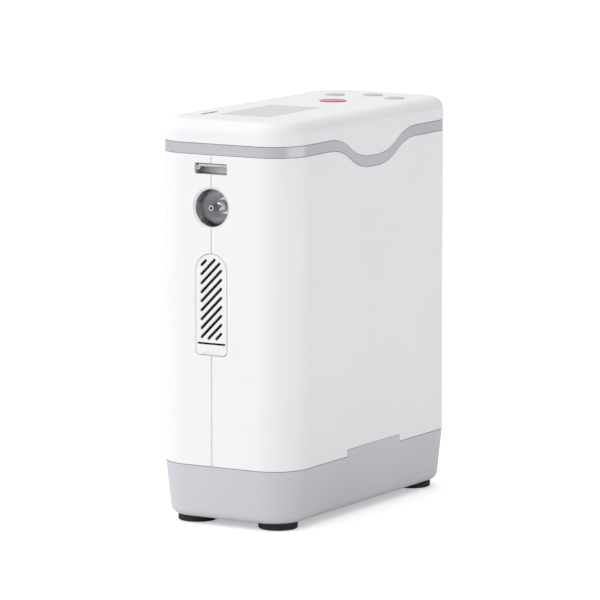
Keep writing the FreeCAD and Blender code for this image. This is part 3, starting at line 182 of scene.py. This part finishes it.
def make_brushed():
    """Fine lines along one direction, as turning or brushing leaves on metal."""
    group, given, out = new_group(
        "brushed_lines",
        [("Colour", "colour", WHITE), ("Dark Colour", "colour", WHITE),
         ("Stretch", "vector", (1.0, 1.0, 1.0)), ("Line Scale", "value", 900.0),
         ("Gloss", "value", 0.2), ("Gloss Spread", "value", 0.15)],
        [("Colour", "colour"), ("Roughness", "value"), ("Height", "value")])
    where = add(group, "ShaderNodeTexCoord").outputs["Object"]
    scaled = add(group, "ShaderNodeVectorMath", {"operation": "MULTIPLY"})
    group.links.new(where, scaled.inputs[0])
    group.links.new(given["Stretch"], scaled.inputs[1])
    lines = noise(group, scaled.outputs[0], given["Line Scale"], LINE_DETAIL)
    stain = remap(group, noise(group, where, STAIN_SCALE, STAIN_DETAIL), *STAIN_RANGE)
    colour = mix_colour(group, stain, given["Colour"], given["Dark Colour"])
    group.links.new(colour, out["Colour"])
    swing = calc(group, "SUBTRACT", lines, NOISE_MIDDLE)
    uneven = calc(group, "MULTIPLY", swing, given["Gloss Spread"])
    group.links.new(calc(group, "ADD", given["Gloss"], uneven), out["Roughness"])
    group.links.new(lines, out["Height"])
    return group


def make_settled_dust():
    """Mask of the faces that look upwards, broken up by noise."""
    group, given, out = new_group(
        "settled_dust",
        [("Amount", "value", 0.1), ("Patch Scale", "value", 40.0)],
        [("Mask", "value")])
    where = add(group, "ShaderNodeTexCoord").outputs["Object"]
    normal = add(group, "ShaderNodeNewGeometry").outputs["Normal"]
    up = add(group, "ShaderNodeSeparateXYZ", None, Vector=normal).outputs["Z"]
    level = remap(group, up, *UPWARD_RANGE)
    cloud = noise(group, where, given["Patch Scale"], PATCH_DETAIL)
    patch = remap(group, cloud, *PATCH_RANGE, PATCH_LEAST)
    cover = calc(group, "MULTIPLY", level, patch)
    group.links.new(calc(group, "MULTIPLY", cover, given["Amount"]), out["Mask"])
    return group


def make_cells():
    """Open cells of a foam, or the pebbled skin of a casting when small and shallow; the pits are
    darkened with painted shade.
    """
    group, given, out = new_group(
        "open_cells",
        [("Colour", "colour", WHITE), ("Pit Colour", "colour", WHITE),
         ("Cell Scale", "value", 700.0)],
        [("Colour", "colour"), ("Height", "value")])
    where = add(group, "ShaderNodeTexCoord").outputs["Object"]
    cells = add(group, "ShaderNodeTexVoronoi", {"feature": "DISTANCE_TO_EDGE"}, Vector=where,
                Scale=given["Cell Scale"], Randomness=1.0).outputs["Distance"]
    pit = remap(group, cells, *CELL_WALL_RANGE)
    # painted shade: the hollow of each cell takes the darker pit colour
    colour = mix_colour(group, pit, given["Colour"], given["Pit Colour"])
    group.links.new(colour, out["Colour"])
    group.links.new(calc(group, "SUBTRACT", 1.0, pit), out["Height"])
    return group


moulded_grain = make_moulded_grain()
brushed_lines = make_brushed()
settled_dust = make_settled_dust()
open_cells = make_cells()


# ------------------------------------------------------------------ materials
SCREEN_BORDER = 6.0 * MM
SCREEN_EDGE = 0.3 * MM      # over this width the border fades into the screen
SCREEN_GRAIN_SCALE = 3000.0
SCREEN_GRAIN_MM = 0.001
CAST_PEBBLE_SCALE = 1400.0
CAST_PEBBLE_MM = 0.03
# how much the brushed lines are stretched along each axis
EVEN = (1.0, 1.0, 1.0)
ALONG_X = (0.03, 1.0, 1.0)
ALONG_Y = (1.0, 0.03, 1.0)
SHEETS_ACROSS_Y = (1.0, 30.0, 1.0)


def tone(red, green, blue):
    """Linear colour from 0-255 display values."""
    def linear(value):
        value /= 255.0
        return value / 12.92 if value <= 0.04045 else ((value + 0.055) / 1.055) ** 2.4
    return (linear(red), linear(green), linear(blue), 1.0)


def use_group(tree, group, **values):
    """Puts a group in a tree with its inputs filled by name, and returns its outputs."""
    node = add(tree, "ShaderNodeGroup", {"node_tree": group})
    for name, value in values.items():
        fill(tree, node.inputs[name.replace("_", " ")], value)
    return node.outputs


def new_material(name, **values):
    """A material with its shader's constant values set on the shader itself."""
    material = bpy.data.materials.new(name)
    material.use_nodes = True
    tree = material.node_tree
    shader = tree.nodes["Principled BSDF"]
    for label, value in values.items():
        shader.inputs[label.replace("_", " ")].default_value = value
    return material, tree, shader


def bump(tree, shader, height, depth_mm):
    """Relief on a surface, as deep as the given depth."""
    node = add(tree, "ShaderNodeBump", None, Height=height, Distance=depth_mm * MM, Strength=1.0)
    tree.links.new(node.outputs["Normal"], shader.inputs["Normal"])


def plastic(name, colour, drift, gloss, spread=0.08, grain_scale=1800.0, grain_mm=0.006, dust=0.0,
            **values):
    """Moulded plastic or rubber; gloss is the shader's roughness, so more of it is duller."""
    material, tree, shader = new_material(name, **values)
    grain = use_group(tree, moulded_grain, Colour=colour, Drift_Colour=drift,
                      Grain_Scale=grain_scale, Gloss=gloss, Gloss_Spread=spread)
    base = grain["Colour"]
    if dust > 0.0:
        mask = use_group(tree, settled_dust, Amount=dust)["Mask"]
        base = mix_colour(tree, mask, base, DUST)
    tree.links.new(base, shader.inputs["Base Color"])
    tree.links.new(grain["Roughness"], shader.inputs["Roughness"])
    bump(tree, shader, grain["Height"], grain_mm)
    return material


def metal(name, colour, dark, gloss, spread, stretch, line_scale=900.0, line_mm=0.002):
    """Turned, drawn or brushed metal; gloss is the shader's roughness here too."""
    material, tree, shader = new_material(name, Metallic=1.0)
    lines = use_group(tree, brushed_lines, Colour=colour, Dark_Colour=dark, Stretch=stretch,
                      Line_Scale=line_scale, Gloss=gloss, Gloss_Spread=spread)
    tree.links.new(lines["Colour"], shader.inputs["Base Color"])
    tree.links.new(lines["Roughness"], shader.inputs["Roughness"])
    bump(tree, shader, lines["Height"], line_mm)
    return material


def foam(name, colour, pit, cell_scale, depth_mm):
    """Dull foam with open cells, whose pits are darkened with painted shade."""
    material, tree, shader = new_material(name, Roughness=0.95, Specular_IOR_Level=0.2)
    # the pit colour is painted shade inside the cells
    cells = use_group(tree, open_cells, Colour=colour, Pit_Colour=pit, Cell_Scale=cell_scale)
    tree.links.new(cells["Colour"], shader.inputs["Base Color"])
    bump(tree, shader, cells["Height"], depth_mm)
    return material


def window(name, colour, screen_colour, gloss, **values):
    """A display pane: a pale printed border around a slightly darker screen."""
    material, tree, shader = new_material(name, **values)
    low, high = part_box("display_window")
    middle = (low + high) / 2
    half = (high - low) / 2 - Vector((SCREEN_BORDER, SCREEN_BORDER, 0.0))
    where = add(tree, "ShaderNodeTexCoord").outputs["Object"]
    place = add(tree, "ShaderNodeSeparateXYZ", None, Vector=where).outputs
    inside = []
    for axis, label in enumerate("XY"):
        away = calc(tree, "ABSOLUTE", calc(tree, "SUBTRACT", place[label], middle[axis]))
        inside.append(remap(tree, away, half[axis], half[axis] + SCREEN_EDGE, 1.0, 0.0))
    screen = calc(tree, "MULTIPLY", *inside)
    tree.links.new(mix_colour(tree, screen, colour, screen_colour), shader.inputs["Base Color"])
    grain = use_group(tree, moulded_grain, Grain_Scale=SCREEN_GRAIN_SCALE, Gloss=gloss,
                      Gloss_Spread=0.04)
    tree.links.new(grain["Roughness"], shader.inputs["Roughness"])
    bump(tree, shader, grain["Height"], SCREEN_GRAIN_MM)
    return material


def casting(name, colour, pit, gloss):
    """Cast metal with a pebbled skin, whose pits are darkened with painted shade."""
    material, tree, shader = new_material(name, Metallic=1.0, Roughness=gloss)
    # the pit colour is painted shade in the hollows of the skin
    cells = use_group(tree, open_cells, Colour=colour, Pit_Colour=pit, Cell_Scale=CAST_PEBBLE_SCALE)
    tree.links.new(cells["Colour"], shader.inputs["Base Color"])
    bump(tree, shader, cells["Height"], CAST_PEBBLE_MM)
    return material


DUST = tone(196, 194, 188)

# plastic: two colours, gloss, its spread, grain scale, grain depth in mm, dust
# metal: two colours, gloss, its spread, stretch of the lines, line scale, line depth in mm
# foam and casting: colour, painted shade of the pits, then cell scale and depth in mm, or gloss
finishes = {
    "shell_white": plastic("shell_white", tone(240, 240, 241), tone(237, 238, 240), 0.34,
                           dust=0.02),
    "tray_grey": plastic("tray_grey", tone(203, 204, 209), tone(199, 200, 206), 0.42, dust=0.05),
    "band_grey": plastic("band_grey", tone(197, 198, 204), tone(192, 193, 200), 0.34, 0.06, 2600.0,
                         0.004, Metallic=0.75),
    "foot_rubber": plastic("foot_rubber", tone(22, 22, 24), tone(30, 30, 31), 0.75, 0.15, 700.0,
                           0.05, 0.25),
    "power_red": plastic("power_red", tone(212, 72, 90), tone(205, 66, 85), 0.26, 0.06, 2500.0,
                         0.003),
    "key_grey": plastic("key_grey", tone(192, 192, 200), tone(188, 188, 197), 0.30, 0.06, 2500.0,
                        0.003),
    "window_grey": window("window_grey", tone(190, 191, 192), tone(184, 186, 187), 0.12,
                          Coat_Weight=0.6),
    "strip_dark": plastic("strip_dark", tone(70, 72, 76), tone(64, 66, 70), 0.2, 0.05, 2500.0,
                          0.002),
    "polished_metal": metal("polished_metal", tone(205, 206, 208), tone(186, 187, 190), 0.20, 0.10,
                            EVEN, 500.0, 0.001),
    "nozzle_metal": metal("nozzle_metal", tone(222, 222, 222), tone(200, 200, 202), 0.16, 0.12,
                          EVEN, 900.0),
    "bracket_metal": metal("bracket_metal", tone(206, 206, 207), tone(190, 190, 192), 0.50, 0.2,
                           ALONG_X),
    # foam_dark: its second colour is painted shade in the foam's cells
    "foam_dark": foam("foam_dark", tone(46, 47, 50), tone(10, 10, 11), 600.0, 0.6),
    "inlet_black": plastic("inlet_black", tone(26, 26, 28), tone(32, 32, 34), 0.45, 0.1, 1500.0,
                           0.01),
    "pin_brass": metal("pin_brass", tone(216, 188, 120), tone(190, 160, 100), 0.22, 0.15, ALONG_Y),
    "board_green": plastic("board_green", tone(22, 84, 52), tone(18, 70, 46), 0.3, 0.1, 400.0,
                           0.02),
    "silicone": plastic("silicone", tone(206, 208, 210), tone(198, 200, 203), 0.55, 0.1, 1200.0,
                        0.01, Subsurface_Weight=0.1),
    "display_black": plastic("display_black", tone(28, 30, 32), tone(24, 26, 28), 0.2, 0.05, 2000.0,
                             0.002),
    # cast_alloy: its second colour is painted shade in the pits of the skin
    "cast_alloy": casting("cast_alloy", tone(176, 178, 180), tone(140, 142, 145), 0.42),
    "steel": metal("steel", tone(188, 190, 192), tone(160, 162, 165), 0.28, 0.2, ALONG_Y),
    "iron_core": metal("iron_core", tone(120, 118, 116), tone(88, 84, 80), 0.5, 0.2,
                       SHEETS_ACROSS_Y, 60.0, 0.05),
    "black_plastic": plastic("black_plastic", tone(34, 35, 37), tone(40, 41, 43), 0.5, 0.1, 1500.0,
                             0.012),
    "seal_rubber": plastic("seal_rubber", tone(30, 30, 31), tone(38, 38, 39), 0.7, 0.15, 900.0,
                           0.02),
    "copper_tube": metal("copper_tube", tone(220, 150, 110), tone(170, 104, 76), 0.3, 0.2, ALONG_X),
    "hose_clear": plastic("hose_clear", tone(214, 216, 218), tone(206, 208, 212), 0.25, 0.08, 900.0,
                          0.01, Transmission_Weight=0.35),
    "screw_steel": metal("screw_steel", tone(178, 180, 182), tone(150, 152, 155), 0.3, 0.2, EVEN),
}

# each solid takes the finish that the record names for its slot
for part in frame["record"]["subparts"]:
    for place in frame["nodes"][part["node"]].material_slots:
        place.material = finishes[part["material_slot"]]


# ------------------------------------------------------------------ mesh helpers
FOAM_EDGE = 1.6 * MM


def new_object(name, shape, material):
    """Turns a bmesh into an object of the scene, with one material."""
    mesh = bpy.data.meshes.new(name)
    shape.to_mesh(mesh)
    shape.free()
    mesh.materials.append(material)
    piece = bpy.data.objects.new(name, mesh)
    bpy.context.scene.collection.objects.link(piece)
    return piece


def mesh_piece(name, build, body, slot):
    """Makes a smooth piece from a bmesh that a function shapes in place; it rides on a body."""
    shape = bmesh.new()
    build(shape)
    piece = new_object(name, shape, finishes[slot])
    for face in piece.data.polygons:
        face.use_smooth = True
    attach(piece, body)
    return piece


def build_foam(shape):
    """A foam pad with rounded edges, as large as the plain solid it stands for."""
    low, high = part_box("intake_filter")
    fit = Matrix.Translation((low + high) / 2) @ Matrix.Diagonal((*(high - low), 1.0))
    bmesh.ops.create_cube(shape, size=1.0, matrix=fit)
    bmesh.ops.bevel(shape, geom=list(shape.edges), offset=FOAM_EDGE, offset_type="OFFSET",
                    affect="EDGES", segments=3, profile=0.5, material=-1, clamp_overlap=True)


intake_foam = mesh_piece("intake_foam", build_foam, "filter_door", "foam_dark")
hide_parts("intake_filter")


# ------------------------------------------------------------------ floor and light
FLOOR_HALF_WIDTH = 40.0
FLOOR_TONE = (0.92, 0.92, 0.92, 1.0)
FLOOR_LIFT = 0.4            # emission that only the camera sees

# the room's brightness level, and how it changes with each axis of the direction looked in
ROOM_LEVEL = 0.78
ROOM_SLOPES = {"X": -0.46, "Y": -0.28, "Z": 0.26}
BACKDROP_LEVEL = 1.05

# name, place, point aimed at, size, watts
LAMPS = [
    ("front_left_softbox", (-1.6, -2.6, 1.9), (0.0, 0.0, 0.2), (1.2, 1.2), 5.5),
    ("top_softbox", (-0.3, -0.2, 2.6), (0.0, 0.0, 0.3), (1.6, 1.6), 3.5),
    ("right_low_fill", (1.3, 0.2, 0.08), (0.0, 0.0, 0.0), (1.6, 0.12), 1.7),
]


def make_floor():
    """Plain pale floor, lifted a little for the camera so that it stays white far away."""
    material, tree, shader = new_material("floor_white", Roughness=0.9, Specular_IOR_Level=0.1,
                                          Base_Color=FLOOR_TONE, Emission_Color=WHITE)
    seen = add(tree, "ShaderNodeLightPath").outputs["Is Camera Ray"]
    fill(tree, shader.inputs["Emission Strength"], calc(tree, "MULTIPLY", seen, FLOOR_LIFT))
    shape = bmesh.new()
    bmesh.ops.create_grid(shape, x_segments=1, y_segments=1, size=FLOOR_HALF_WIDTH)
    new_object("floor", shape, material)


def area_light(name, place, aim, size, watts):
    """A rectangular lamp turned towards a point."""
    light = bpy.data.lights.new(name, "AREA")
    light.shape = "RECTANGLE"
    light.size, light.size_y = size
    light.energy = watts
    lamp = bpy.data.objects.new(name, light)
    lamp.location = place
    lamp.rotation_euler = (Vector(place) - Vector(aim)).to_track_quat("Z", "Y").to_euler()
    bpy.context.scene.collection.objects.link(lamp)


def set_world():
    """A pale room, brighter above, on the left and in front; the camera sees plain white."""
    world = bpy.data.worlds.new("studio")
    world.use_nodes = True
    tree = world.node_tree
    where = add(tree, "ShaderNodeTexCoord").outputs["Generated"]
    direction = add(tree, "ShaderNodeSeparateXYZ", None, Vector=where).outputs
    seen = add(tree, "ShaderNodeLightPath").outputs["Is Camera Ray"]
    level = ROOM_LEVEL
    for axis, change in ROOM_SLOPES.items():
        level = calc(tree, "ADD", level, calc(tree, "MULTIPLY", direction[axis], change))
    level = calc(tree, "MAXIMUM", level, calc(tree, "MULTIPLY", seen, BACKDROP_LEVEL))
    background = tree.nodes["Background"]
    background.inputs["Color"].default_value = WHITE
    fill(tree, background.inputs["Strength"], level)
    bpy.context.scene.world = world


make_floor()
set_world()
for lamp in LAMPS:
    area_light(*lamp)

scene = bpy.context.scene
scene.view_settings.view_transform = "Standard"
scene.view_settings.look = "None"
